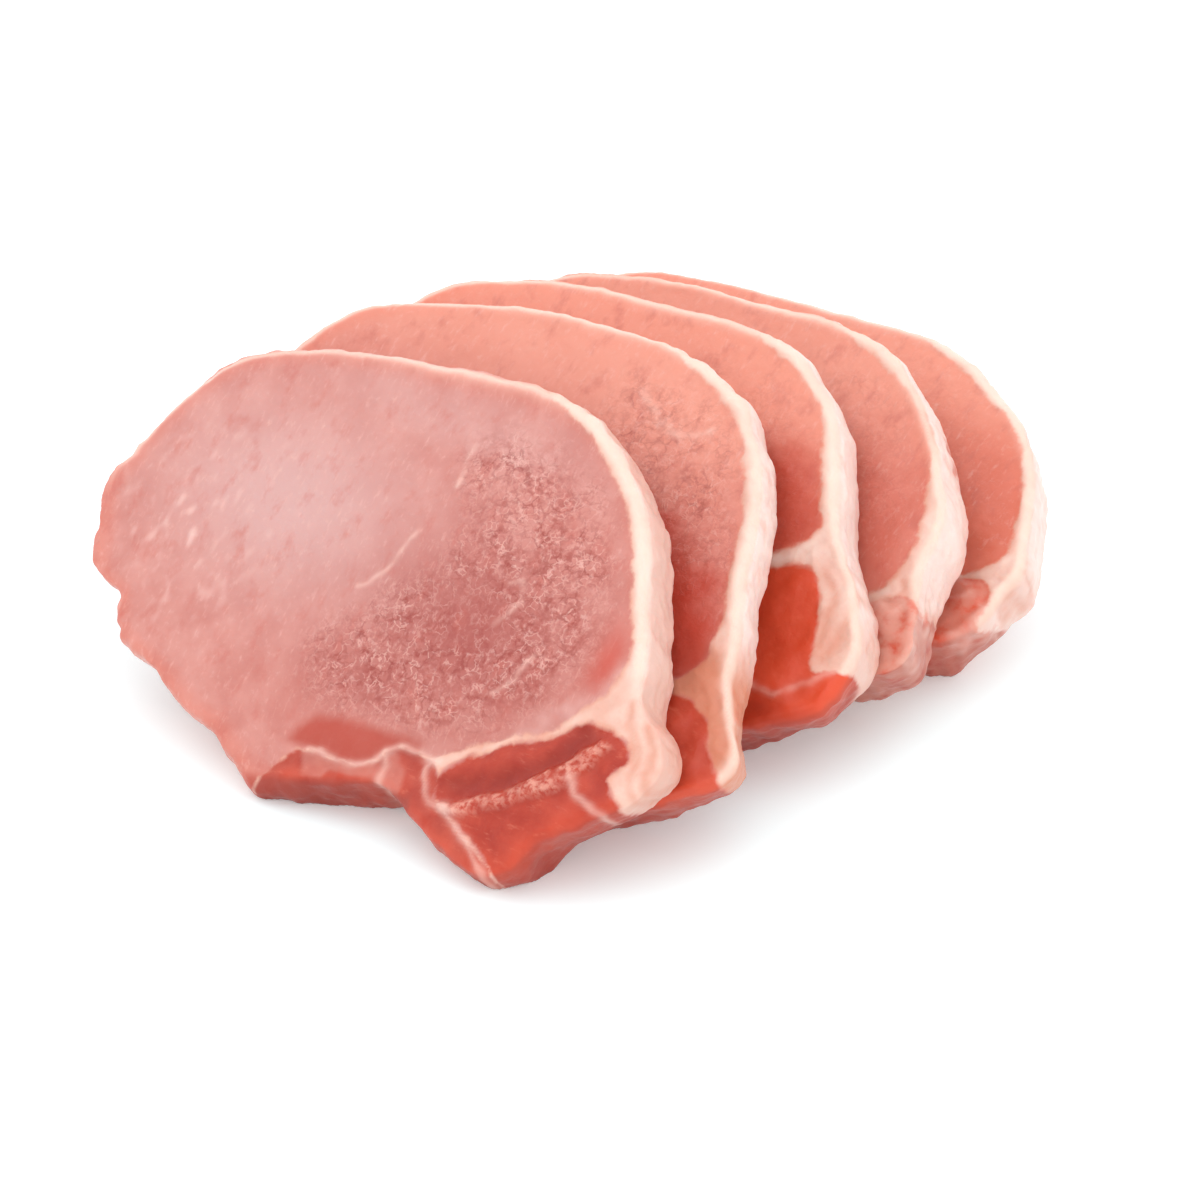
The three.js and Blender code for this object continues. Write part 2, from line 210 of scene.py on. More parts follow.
def smooth_line(points, steps, closed):
    """A smooth line through the points, steps to a gap between two of them."""
    count = len(points)
    gaps = count if closed else count - 1
    made = []
    for gap in range(gaps):
        ends = [gap - 1, gap, gap + 1, gap + 2]
        if closed:
            a, b, c, d = (points[i % count] for i in ends)
        else:
            b, c = points[gap], points[gap + 1]
            a = points[gap - 1] if gap else 2 * b - c
            d = points[gap + 2] if gap + 2 < count else 2 * c - b
        before, along, after = (
            np.linalg.norm(q - p) ** 0.5 for p, q in ((a, b), (b, c), (c, d))
        )
        leaving = (b - a) / before - (c - a) / (before + along) + (c - b) / along
        coming = (c - b) / along - (d - b) / (along + after) + (d - c) / after
        leaving, coming = leaving * along, coming * along
        for share in np.arange(steps) / steps:
            made.append(
                b + leaving * share
                + (3 * (c - b) - 2 * leaving - coming) * share**2
                + (2 * (b - c) + leaving + coming) * share**3
            )
    if not closed:
        made.append(points[-1])
    return np.array(made)


def away(flat, line):
    """How far each flat point is from a line through corners."""
    nearest = np.full(len(flat), 1e9)
    for start, end in zip(line[:-1], line[1:]):
        along = end - start
        share = np.clip((flat - start) @ along / (along @ along), 0, 1)
        gap = flat - start - share[:, None] * along
        nearest = np.minimum(nearest, np.hypot(gap[:, 0], gap[:, 1]))
    return nearest


def within(flat, loop):
    """How deep each flat point is inside a closed loop, below 0 outside it."""
    closed = np.vstack([loop, loop[:1]])
    inside = np.zeros(len(flat), bool)
    for (x1, y1), (x2, y2) in zip(closed[:-1], closed[1:]):
        spans = (y1 > flat[:, 1]) != (y2 > flat[:, 1])
        if y1 != y2:
            inside ^= spans & (flat[:, 0] < x1 + (flat[:, 1] - y1) * (x2 - x1) / (y2 - y1))
    return np.where(inside, 1, -1) * away(flat, closed)


CHANCES = 256
BUMP_GAIN = 1.7
CREASE_BEND = 0.35
draw = np.random.default_rng(11)
SHUFFLE = draw.permutation(CHANCES)
SLOPES = draw.normal(size=(CHANCES, 3))
SLOPES /= np.linalg.norm(SLOPES, axis=1)[:, None]


def bumps(points, size):
    """Smooth bumps and dips from about -1 to 1, one bump and dip in size."""
    place = points / size
    cell = np.floor(place).astype(int)
    part = place - cell
    fade = part**3 * (part * (part * 6 - 15) + 10)
    total = np.zeros(len(points))
    for corner in product((0, 1), repeat=3):
        pick = 0
        for along in (cell + corner).T:
            pick = SHUFFLE[(pick + along) % CHANCES]
        share = np.where(corner, fade, 1 - fade).prod(axis=1)
        total += share * ((part - corner) * SLOPES[pick]).sum(axis=1)
    return np.clip(total * BUMP_GAIN, -1, 1)


def rough(points, *layers):
    """Bumps in layers, each given by its height, its seed and its size in millimetres."""
    return sum(tall * bumps(points + seed, size) for tall, seed, size in layers)


def creases(points, size):
    """A net of thin raised lines from 0 to 1, as in a wet membrane that has shrunk."""
    bend = np.stack([bumps(points + seed, size) for seed in (31, 67, 93)], axis=1)
    return (1 - np.abs(bumps(points + CREASE_BEND * size * bend, size))) ** 4


def outline_of(cut, number):
    """The slice's outline, finely stepped, as directions and lengths from its middle."""
    corners = [*OUTLINE_FOOT, *cut["side"], *OUTLINE_TOP]
    line = smooth_line(on_slice(corners, cut), 8, True)
    middle = on_slice([OUTLINE_MIDDLE], cut)[0]
    spokes = line - middle
    turns = 2 * np.pi * np.arange(len(line)) / len(line)
    uneven = sum(
        np.sin(count * turns + shift * number)
        for count, shift in zip(WOBBLE_COUNTS, WOBBLE_SHIFTS)
    )
    lengths = np.linalg.norm(spokes, axis=1)
    return middle, spokes / lengths[:, None], lengths + min(number, 1) * WOBBLE * uneven


def plate(cut, number):
    """The slice as the knife leaves it: a flat plate with a softly rounded edge, finely meshed."""
    middle, spokes, lengths = outline_of(cut, number)
    shape = bmesh.new()
    ring = bmesh.ops.create_circle(shape, cap_ends=True, radius=1, segments=len(spokes))["verts"]
    for vert, point in zip(ring, middle + spokes * lengths[:, None]):
        vert.co = (*point, 0)
    walls = bmesh.ops.extrude_face_region(shape, geom=shape.faces[:])["geom"]
    pushed = [item for item in walls if isinstance(item, bmesh.types.BMVert)]
    bmesh.ops.translate(shape, verts=pushed, vec=(0, 0, -cut["thick"]))
    bmesh.ops.recalc_face_normals(shape, faces=shape.faces)
    rims = [edge for edge in shape.edges if edge.calc_face_angle(0) > 1]
    bmesh.ops.bevel(
        shape, geom=rims, offset=RIM_RADIUS, affect="EDGES", segments=RIM_STEPS, profile=0.5,
        material=-1,
    )
    rough = bpy.data.meshes.new("rough")
    shape.to_mesh(rough)
    shape.free()
    holder = bpy.data.objects.new("holder", rough)
    bpy.context.scene.collection.objects.link(holder)
    skin = holder.modifiers.new("skin", "REMESH")
    skin.mode = "VOXEL"
    skin.voxel_size = cut["grain"] * 1
    relaxed = holder.modifiers.new("relaxed", "SMOOTH")
    relaxed.factor = 0.5
    relaxed.iterations = RELAXING
    depsgraph = bpy.context.evaluated_depsgraph_get()
    fine = bpy.data.meshes.new_from_object(holder.evaluated_get(depsgraph))
    bpy.data.objects.remove(holder)
    return fine


def read(source, what):
    """The points or normals of a mesh as rows of three numbers."""
    rows = np.zeros(len(source) * 3, np.float32)
    source.foreach_get(what, rows)
    return rows.reshape(-1, 3).astype(float)


def hill(flat, middle, reach):
    """1 at the middle, fading to nothing past the reach."""
    return np.exp(-(((flat - middle) / reach) ** 2).sum(axis=1))


def line_near(flat, lines, reach):
    """1 on any of the lines, fading to nothing past the reach."""
    gap = np.min([away(flat, np.array(line, float)) for line in lines], axis=0)
    return np.exp(-((gap / reach) ** 2))


EYE_SWELLING = (-5, 2), (38, 24)
TAIL_SWELLING = (43, -25), (15, 11)


def swell(flat, seed):
    """Height of the relaxed cut face over the knife's plane."""
    u, v = flat.T
    waves = sum(
        np.sin(along / length + turn * seed)
        for along, length, turn in zip((u, v, u + v), WAVE_LENGTHS, (1, 2, 3))
    )
    domes = EYE_DOME * hill(flat, *EYE_SWELLING) + TAIL_DOME * hill(flat, *TAIL_SWELLING)
    return domes - SEAM_DEPTH * line_near(flat, [SEAM], SEAM_REACH) + WAVE_HEIGHT * waves


# What the knife and the butcher left on the faces: the wet membrane that has crept into a fine
# net over the middle of the eye, veins, a strip of lean under a film along the foot, and the
# torn ridge across the side muscle. What is listed by slice is on all of them, front slice first,
# and the rest is on the front slice alone. A spot is its middle and its reach.
NETS = [
    [
        (4.4, 21.6), (9.2, 26.4), (17.1, 25.5), (27.6, 22.2), (35.3, 14.9), (38.6, 5.2),
        (38.6, -4.3), (31.2, -13), (21.8, -18.3), (7.6, -19.8), (-2.5, -20), (-6.6, -12.7),
        (1.7, -4.6), (9.8, 3.4), (11.9, 12.9),
    ],
    [(8, 28), (24, 29), (34, 21), (41, 12), (46, 5), (47, 0), (38, 2), (22, 8), (8, 18)],
]
SMOOTH_STRIP = [
    (-2.8, -28.5), (-2.6, -26.2), (0, -24.2), (3.6, -22.8), (8.8, -22.4), (14, -22), (18.6, -21.8),
    (18.9, -22.9), (15.6, -23.3), (13, -25), (12.7, -26.9), (10.4, -28.4), (6.2, -28.9),
    (1.6, -28.9),
]
LEAN_STRIP = [
    (-1, -29.5), (2, -29), (6.2, -28.9), (10.4, -28.4), (12.9, -26.8), (13.2, -24.6),
    (15.6, -23.3), (19, -23), (22.4, -23.4), (25, -25.6), (26, -28.4), (29, -30.6), (35, -32.9),
    (40, -35.4), (41, -42), (30, -44), (-8, -44), (-6, -36),
]
PATCH = [
    (-0.6, -29.3), (2.2, -32.9), (5.1, -32.5), (6, -31.2), (10.3, -30.4), (13.8, -30),
    (16.2, -30.7), (18.9, -30.1), (18.7, -27.3), (15.4, -24.3), (13.5, -24.2), (12.8, -26.9),
    (8.2, -29), (2.6, -28.6),
]
PALE_FILM = [
    (34, -15.5), (35.8, -12.4), (39.5, -8.4), (43, -5.4), (45.2, -3.2), (46.6, 0.5), (45.5, -5.5),
    (42, -10.5),
]
VEINS = [
    [(-3.5, -2.8), (-1.6, -2), (0.4, 0.4), (1.5, 5.2), (3.2, 8.4)],
    [(5.4, 16.6), (4.8, 21.1), (4.5, 23.7)],
    [(22.5, -1), (24.8, 3.5), (23.6, 6.2), (21.8, 5.2)],
    [(27, -11), (29.5, -8.2), (31.2, -3)],
]
MEMBRANES = [
    [(0.5, -29.2), (2.6, -28.7), (8.2, -29), (12.4, -27.2), (13.3, -24.6), (15.8, -23.2),
     (19.3, -22.8), (22.4, -23.4)],
    [(22.6, -23.1), (21.9, -24.8), (22.4, -26.4), (24.2, -28.8), (28.3, -30.4), (31.5, -31.6),
     (34.7, -32.9), (36.7, -34.9), (39.1, -36.3)],
    [(46.6, -18.5), (49, -20.6), (51.4, -21.2), (54.5, -22.3), (57.3, -21.3)],
    [(13.3, -24.6), (14.8, -27), (15, -31)],
]
KNOTS = [((22.4, -23.5), (1.7, 0.9)), ((28.7, -29.7), (1.7, 0.8))]
HOLLOW = [(27.5, -25.7), (32.6, -24), (38, -21.4), (42.5, -17), (45.1, -12.5)]
TORN_RIDGE = [
    (27.8, -29.7), (31.4, -29.9), (37.3, -26.6), (42.2, -23.2), (46.2, -20.8), (47.4, -17.6),
    (48.6, -15.1), (50.2, -12.3), (48.1, -11.8), (45.4, -14.6), (43.7, -17.7), (41.2, -20.9),
    (36.3, -24.3), (31.9, -27.2),
]
LOBE_FOLDS = [
    [
        [(51.5, -8), (54.6, -11), (55.4, -15), (58, -19)],
        [(54.5, -7.5), (57, -10.5), (57.6, -14), (59, -17)],
        [(50, -5), (51.8, -8.8), (54.5, -12.5)],
    ],
    [[(55.5, -8), (59.5, -11.5), (62.5, -15.5)]],
    [
        [(49.8, 1.9), (53.8, -1), (54.5, -5.1), (56, -9.7)],
        [(52.5, 3.2), (56.5, 0.6), (58.2, -4), (58.4, -8.2), (58, -11.4)],
    ],
    [[(51.6, -5.7), (56, -9.3), (58.5, -11)]],
    [[(57, -8), (57, -13), (57.6, -18)]],
]
REAR_MEMBRANES = [
    [],
    [[(11.1, 27.3), (16.9, 24.4), (22.3, 23.3), (25.9, 25.7)]],
    [[(46, -19.2), (48.1, -19.6), (54.2, -19.9), (57.5, -15.4), (60.8, -12.3)]],
    [
        [(46.4, -12.4), (48.4, -11.6), (50, -10.9), (53.9, -12.6), (53.6, -8.4)],
        [(51.6, -8.4), (57.2, -11.3), (60.3, -15), (60, -19.8)],
    ],
    [[(49, -20.4), (51.1, -20), (52.9, -17.8), (56.6, -20), (56.8, -24.4), (54.8, -27.3)]],
]
# Painted shade along the front slice's foot, where it stands on the surface.
SHADED_FOOT_LINE = [(-8, -38), (-1.7, -36), (5.5, -34.2), (9.4, -33.2), (15, -32), (20.5, -31.4)]
# Painted shade that the slice in front casts on the lower cut face of the slices behind it.
NEIGHBOUR_SHADES = [
    [(10, 10), (29.6, 11), (36.5, 6.8), (43.4, 5.2), (48.5, -1), (51, -6), (46, -14), (0, -20)],
    [(20, 16), (31, 19), (38, 17), (43.5, 11), (45.5, 5), (38, -2), (20, -10)],
    [(30, 12), (40, 8), (45, 0), (48, -9), (40, -16), (20, -10)],
]
NET_GAP = (17, -1), (7, 6)
FLECKED = (-37, -4), (13, 15)
HOT_SPOTS = [((43, 0), (2.4, 5.5)), ((49.5, -14), (2, 1.8))]
# Painted sheen: the front face is lighter and lilac over the left of its middle and along its top.
PAINTED_SHEEN_MIDDLE = (-23, 6), (26, 16)
PAINTED_SHEEN_TOP = (-5, 26), (30, 6)
ROSE_MIDDLE = (19, -4), (18, 14)
ROSE_FOOT = (6, -16), (14, 6)
NOTCHES = [
    [(0.3, (-53, -12), (3, 3)), (-0.4, (-47, -17.5), (2.5, 2.5))],
    [(1.3, (30, 33), (3, 3))],
    [],
    [],
    [],
]
NET_SHARES = (1, 0.6, 0.2, 0.2, 0.1)
FILM_SHARES = (0, 0.05, 0, 1, 0.7)
ROSE_SHARES = (1, 0.4, 0.2, 0.2, 0)
PAINTED_SHEEN_SHARES = (1, 0.5, 0.1, 0.2, 0)
SALMON_SHARES = (0, 0.35, 0.75, 0.55, 0.85)
SHADE_SHARES = (0, 1, 0.75, 0.2, 0)
BLUSH_SHARES = (1, 0, 0, 0.2, 0.3)
PEACH_SHARES = (0.3, 1.25, 0.6, 0.1, 0.1)
# Painted shade on the lowest part of the third slice, by slice.
UNDER_SHADE_SHARES = (0, 0, 0.6, 0, 0)
LEAN_NICKS = 2.2
LEAN_FILM = 0.08
SEAM_PINCH = 0.55
SEED_STEP = 40
SEED_TURN = 1.3

# Relief in layers of height, seed and size, then the heights and depths of the single marks.
FACE_RELIEF = (0.2, 0, 13), (0.12, 5, 6)
EYE_RELIEF = (0.06, 0, 1.7), (0.04, 3, 0.9)
SIDE_RELIEF = (0.3, 0, 5), (0.2, 7, 2.6)
TORN_RELIEF = (0.5, 13, 1.3), (0.4, 6, 2.8)
VEIN_HEIGHT = 0.15
MEMBRANE_HEIGHT = 0.28
KNOT_HEIGHT = 0.5
FLECK_HEIGHT = 0.08
SEAM_GROOVE = 0.6
HOLLOW_DEPTH = 1.1
FOLD_DEPTH = 0.22
RIM_RIDGE = 0.3
STRIP_DEPTH = 0.2
PATCH_DEPTH = 0.1


def only_front(values, number):
    """The values on the front slice, and nothing on the others."""
    return values if number == 0 else 0 * values


def trimmed(point, cut, number):
    """The points moved out or in to the slice's uneven edge, and how far inside it they are."""
    middle, spokes, lengths = outline_of(cut, number)
    behind = -point[:, 2] / cut["thick"]
    seeded = point + SEED_STEP * number
    spoke = point[:, :2] - middle
    reach = np.linalg.norm(spoke, axis=1)
    outward = spoke / np.maximum(reach, 1e-6)[:, None]
    turn = np.arctan2(spoke[:, 1], spoke[:, 0])
    turns = np.arctan2(spokes[:, 1], spokes[:, 0])
    order = np.argsort(turns)
    length = np.interp(turn, turns[order], lengths[order], period=2 * np.pi)
    edge = middle + outward * length[:, None]
    behind_tail = step(edge[:, 0], 20, 48) * step(-edge[:, 1], 2, 20)
    taper = behind * (BACK_INSET + TAIL_INSET * behind_tail)
    bulge = SIDE_BULGE * np.sin(np.pi * np.clip(behind, 0, 1))

    # Nicks where the lean end was trimmed, soft waves along the fat.
    nick = rough(seeded * (1, 1, 0.5), (0.3, 0, 7)) + rough(seeded * (1, 1, 0.4), (0.22, 0, 2.6))
    for tall, *spot in NOTCHES[number]:
        nick += tall * hill(edge, *spot)
    nick *= 1 + LEAN_NICKS * step(-edge[:, 0], 20, 45) * step(-edge[:, 1], -14, 0)
    share = np.clip(reach / length, 0, 1)
    change = share**6 * (nick + bulge) - share * taper
    return point[:, :2] + outward * change[:, None], length - reach


def flesh_of(front, cut, number):
    """How deep the points lie in the eye and in the side muscle, and their share of film."""
    eye_line = smooth_line(np.array([*EYE_START, *cut["eye"], *EYE_END], float), 4, False)
    eye = within(front, np.vstack([eye_line, EYE_OUTSIDE]))
    tail = within(front, smooth_line(np.array([*TAIL_FOOT, *cut["tail"]], float), 4, True))
    film = np.full(len(front), FILM_SHARES[number], float)
    if number == 0:
        lean = within(front, np.array(LEAN_STRIP, float))
        film = LEAN_FILM * step(lean - tail, -1, 0.5)
        closer = SEAM_PINCH * line_near(front, [SEAM], SEAM_REACH)
        tail = np.maximum(tail + closer, lean)
        eye = np.minimum(eye + closer, -lean)
    return eye, tail, film


def set_down(lifted, cut):
    """The slice bent, leaned back and set down, its foot pressed flat on the surface."""
    lifted[:, 2] -= radians(cut["bend"]) / OUTLINE_HEIGHT * lifted[:, 1] ** 2 / 2
    pose = (
        Matrix.Translation(Vector(cut["place"]) + ROW_SHIFT)
        @ Matrix.Rotation(radians(cut["yaw"]), 4, "Z")
        @ Matrix.Rotation(radians(90 - cut["lean"]), 4, "X")
        @ Matrix.Rotation(radians(cut["roll"]), 4, "Z")
    )
    placed = lifted @ np.array(pose.to_3x3()).T + np.array(pose.translation)
    high = placed[:, 2]
    pressed = np.maximum(high - FLAT_BELOW, 0) * SAG_REACH / (SAG_REACH - FLAT_BELOW)
    placed[:, 2] = np.where(high < SAG_REACH, pressed, high)
    return placed


def slice_mesh(cut, number):
    """One slice as a finely meshed skin with its relief, in its place in the row."""
    mesh = plate(cut, number)
    point = read(mesh.vertices, "co")
    normal = read(mesh.vertex_normals, "vector")
    depth = -point[:, 2]
    behind = depth / cut["thick"]
    seeded = point + SEED_STEP * number
    flat, rim_gap = trimmed(point, cut, number)

    # Where the three kinds of flesh lie, with edges that wander a little.
    front = on_front(flat, cut)
    for drift, size, seeds in ((0.5, 4, (11, 53)), (0.2, 1.5, (23, 71))):
        front += drift * np.stack([bumps(seeded + seed, size) for seed in seeds], axis=1)
    eye, tail, film = flesh_of(front, cut, number)
    fat = -np.maximum(eye, tail)
    facing = step(normal[:, 2], 0.25, 0.8)
    faced = facing + step(-normal[:, 2], 0.25, 0.8)
    siding = 1 - faced
    in_eye = step(eye, -0.4, 0.8)
    in_tail = step(tail, -0.4, 0.8)
    in_fat = step(fat, -0.4, 0.4)

    def patch_of(loop, low, high):
        return only_front(step(within(front, np.array(loop, float)), low, high), number)

    def drawn(lines, reach, low=0.55):
        uneven = low + (1 - low) * bumps(seeded + 19, 2.2)
        return only_front(line_near(front, lines, reach), number) * uneven

    netted = step(within(front, np.array(NETS[min(number, 1)], float)), -5, 4)
    netted *= (0.8 + 0.2 * bumps(seeded, 5)) * in_eye * faced
    netted *= 1 - 0.7 * only_front(hill(front, *NET_GAP), number)
    netted *= NET_SHARES[number]
    thread = np.maximum(creases(seeded, 2.4), 0.8 * creases(seeded + 9, 1.3))
    strip = patch_of(SMOOTH_STRIP, -1.6, 1.2)
    patch = patch_of(PATCH, -0.5, 0.6) * (0.75 + 0.25 * bumps(seeded, 2))
    wetted = patch_of(PALE_FILM, -2, 1) * (0.6 + 0.4 * bumps(seeded + 2, 2))
    veins = drawn(VEINS, 0.45)
    folds = drawn(MEMBRANES, 0.6, 0.75)
    if REAR_MEMBRANES[number]:
        folds = line_near(front, REAR_MEMBRANES[number], 0.7) * (0.5 + 0.4 * bumps(seeded, 2))
    knots = only_front(sum(hill(front, *knot) for knot in KNOTS), number)
    torn = patch_of(TORN_RIDGE, -0.8, 0.5)
    grainy = np.clip(0.6 + rough(seeded, *TORN_RELIEF), 0, 1.2)
    hollow = drawn([HOLLOW], 2.2, 0.85) * in_tail
    # Fold lines in the fat: sunk into the relief below, and painted darker as painted shade in
    # them.
    creased = line_near(front, LOBE_FOLDS[number], 0.8) * in_fat
    creased *= 0.75 + 0.25 * bumps(seeded + 19, 2.2)
    seam = np.exp(-(((np.maximum(-eye, 0) + np.maximum(-tail, 0)) / 2.2) ** 2))
    ridged = np.maximum(step(front[:, 1], -6, 2), min(number, 1) * step(front[:, 0], 40, 50))
    ridged *= step(front[:, 0], -45, -5)
    ridge = np.exp(-(((rim_gap - 1.3) / 1.1) ** 2)) * ridged * facing
    streaks = step(bumps((seeded + 3) * (1, 0.6, 1), 1.7), 0.1, 0.9)
    flecks = only_front(hill(front, *FLECKED) * streaks, number)

    height = rough(seeded, *FACE_RELIEF) + in_eye * rough(seeded, *EYE_RELIEF)
    height += netted * (0.2 * thread - 0.1 + rough(seeded, (0.16, 21, 1.1)))
    height += faced * (VEIN_HEIGHT * veins + MEMBRANE_HEIGHT * folds + KNOT_HEIGHT * knots)
    height += faced * (FLECK_HEIGHT * flecks - SEAM_GROOVE * seam)
    height += in_tail * (rough(seeded, *SIDE_RELIEF) - HOLLOW_DEPTH * hollow)
    height += faced * torn * (0.5 + 0.6 * grainy)
    height += in_fat * rough(seeded * (1, 1, 0.45), (0.2, 0, 4))
    height += in_fat * (rough(seeded, (0.1, 17, 1.4)) + 0.25 * faced * creases(seeded + 77, 4.5))
    height += ridge * RIM_RIDGE * (1 + rough(seeded, (0.4, 0, 4))) - FOLD_DEPTH * creased
    height += siding * rough(seeded * (1, 1, 0.35), (0.25, 0, 4.2))
    height += siding * rough(seeded, (0.12, 29, 1.9))
    height -= STRIP_DEPTH * strip + PATCH_DEPTH * patch

    # Relaxed, so that both cut faces swell, and put in its place.
    swelling = (1 - 2 * behind) * swell(flat, SEED_TURN * number + depth)
    lifted = np.column_stack([flat, swelling - depth]) + normal * height[:, None]
    placed = set_down(lifted, cut) * MM
    mesh.vertices.foreach_set("co", placed.astype(np.float32).ravel())

    # The colours' zones. Front tones fade a little way behind the cut face.
    cut_face = 1 - 0.75 * step(behind, 0.15, 0.6)
    salmon = (0.35 * step(-rim_gap, -5, -1) + SALMON_SHARES[number]) * cut_face
    hot = only_front(sum(hill(front, *spot) for spot in HOT_SPOTS), number)
    # Painted sheen, lighter over the left of the face's middle and along its top.
    pale = np.maximum(hill(front, *PAINTED_SHEEN_MIDDLE), 0.5 * hill(front, *PAINTED_SHEEN_TOP))
    rose = np.maximum(hill(front, *ROSE_MIDDLE), 0.7 * hill(front, *ROSE_FOOT))
    # Painted shade along the front slice's foot and on the third slice's lowest part.
    foot = only_front(step(-away(front, np.array(SHADED_FOOT_LINE, float)), -2.6, -0.5), number)
    under = UNDER_SHADE_SHARES[number] * step(1.2 * bumps(seeded, 3) - front[:, 1], 18.5, 24)
    shaded = np.array(NEIGHBOUR_SHADES[min(max(number - 1, 0), 2)], float)
    # Painted shade where the slice in front shades this one.
    shade = SHADE_SHARES[number] * step(within(front, shaded) + 1.5 * bumps(seeded, 4), -5, 4)
    low_fat = PEACH_SHARES[number] * step(-front[:, 1], -1, 7)
    zones = {
        "fat": fat,
        "side": tail,
        "netted": netted,
        "rose": rose * ROSE_SHARES[number],
        "pale": pale * PAINTED_SHEEN_SHARES[number] * cut_face,
        "salmon": np.clip(salmon, 0, 1),
        "light": min(number, 1) * step(front[:, 1], 8, 30) * cut_face,
        # Painted shade: darker along the feet, in the side muscle's hollow and along its seam; the
        # smooth strip under the eye takes the same dark red.
        "deep": np.maximum.reduce([strip, foot, under, 0.9 * hollow, 0.4 * seam * in_tail]),
        "shade": shade * in_eye * facing,
        "hot": hot,
        "line": np.clip(np.maximum.reduce([0.75 * veins, 0.75 * folds, knots]), 0, 1),
        "film": np.clip(film, 0, 1),
        "veil": np.clip(np.maximum.reduce([0.35 * patch, 0.4 * wetted, 0.6 * flecks]), 0, 1),
        "torn": torn * grainy * (1 - in_fat),
        "ridge": ridge,
        "edge_line": np.exp(-(((rim_gap - 0.9) / 0.55) ** 2)) * step(front[:, 1], -5, 8) * facing,
        "skin": siding,
        "blush": siding * BLUSH_SHARES[number],
        "peach": np.maximum(low_fat, 0.7 * np.exp(-((fat / 0.8) ** 2)) * facing),
        "creased": creased,
        "back_edge": step(behind, 0.55, 0.95),
    }
    for name, values in zones.items():
        layer = mesh.attributes.new(name, "FLOAT", "POINT")
        layer.data.foreach_set("value", np.asarray(values, np.float32))
    layer = mesh.attributes.new("place", "FLOAT_VECTOR", "POINT")
    where = np.column_stack([flat, -depth]) + 70 * number
    layer.data.foreach_set("vector", where.astype(np.float32).ravel())
    mesh.shade_smooth()
    mesh.update()
    return mesh


# Raw pork, cut wet: pink muscle that light sinks into, a film of moisture that takes small
# highlights, and firm back fat between cream and pink. Grain and marbling are set in millimetres
# on the slice, so they run through from the cut face to the skin side.
def linear(code):
    """A colour given as the screen shows it, turned to the light it stands for."""
    parts = [int(code[i:i + 2], 16) / 255 for i in (1, 3, 5)]
    return (*(p / 12.92 if p <= 0.04045 else ((p + 0.055) / 1.055) ** 2.4 for p in parts), 1)


def add(tree, kind, inputs=None, **settings):
    """Adds one node with its settings, and links or sets its inputs."""
    made = tree.nodes.new(kind)
    for name, value in settings.items():
        setattr(made, name, value)
    for name, value in (inputs or {}).items():
        if isinstance(value, bpy.types.NodeSocket):
            tree.links.new(value, made.inputs[name])
        else:
            made.inputs[name].default_value = value
    return made


pork = bpy.data.materials.new("raw_pork_loin")
pork.use_nodes = True
tree = pork.node_tree
tree.nodes.clear()
place = add(tree, "ShaderNodeAttribute", attribute_name="place").outputs["Vector"]
shares = {}
for name in (
    "fat", "side", "netted", "rose", "pale", "salmon", "light", "deep", "shade", "hot", "line",
    "film", "veil", "torn", "ridge", "edge_line", "skin", "blush", "peach", "creased", "back_edge",
):
    shares[name] = add(tree, "ShaderNodeAttribute", attribute_name=name).outputs["Fac"]

# Soft clouds: size in millimetres, detail, roughness, stretch, the band of the cloud that counts
# and the share it is turned to. Fibre and strand are bundles of muscle fibre, about 1 mm across,
# as single fibres are too fine to show.
EVEN = (1, 1, 1)
for name, size, detail, roughness, stretch, low, high, start, end in (
    ("ragged edge", 2.2, 3, 0.55, EVEN, 0.3, 0.7, -0.3, 0.3),
    ("net cloud", 5, 3, 0.55, EVEN, 0.3, 0.62, 0.3, 1),
    ("net pits", 1.9, 5, 0.7, EVEN, 0.5, 0.37, 0, 1),
    ("crack breaks", 2.3, 3, 0.55, EVEN, 0.36, 0.55, 0, 1),
    ("glint breaks", 1.9, 4, 0.6, EVEN, 0.44, 0.58, 0, 1),
    ("eye cloud", 9, 4, 0.55, EVEN, 0.3, 0.7, 0, 1),
    ("fleck", 1.3, 4, 0.65, EVEN, 0.54, 0.85, 0, 0.3),
    ("flush", 3.5, 4, 0.6, (1, 0.6, 1), 0.5, 0.25, 0, 0.5),
    ("fibre", 0.9, 3, 0.6, (1, 0.35, 1), 0.54, 0.8, 0, 0.3),
    ("side cloud", 5, 4, 0.55, EVEN, 0.3, 0.7, 0, 1),
    ("strand", 1.2, 3, 0.6, (0.4, 1, 1), 0.56, 0.8, 0, 0.4),
    ("film cloud", 3.5, 4, 0.55, EVEN, 0.22, 0.55, 0, 1),
    ("torn grain", 1, 3, 0.55, EVEN, 0.35, 0.62, 0, 0.9),
    ("fat cloud", 6, 4, 0.55, EVEN, 0.3, 0.7, 0, 1),
    ("fat fleck", 3.2, 4, 0.55, EVEN, 0.52, 0.78, 0, 0.45),
    ("wet", 2.4, 3, 0.55, EVEN, 0.3, 0.7, 0.32, 0.5),
    ("pores", 0.8, 2, 0.55, EVEN, 0.2, 0.8, 0, 0.3),
    ("dents", 2, 3, 0.55, EVEN, 0.2, 0.8, 0, 0.7),
):
    where = add(
        tree, "ShaderNodeMapping",
        {"Vector": place, "Scale": [along / size for along in stretch]},
    ).outputs[0]
    cloud = add(
        tree, "ShaderNodeTexNoise",
        {"Vector": where, "Scale": 1, "Detail": detail, "Roughness": roughness},
    ).outputs["Fac"]
    shares[name] = add(
        tree, "ShaderNodeMapRange",
        {"Value": cloud, "From Min": low, "From Max": high, "To Min": start, "To Max": end},
        interpolation_type="SMOOTHSTEP",
    ).outputs[0]

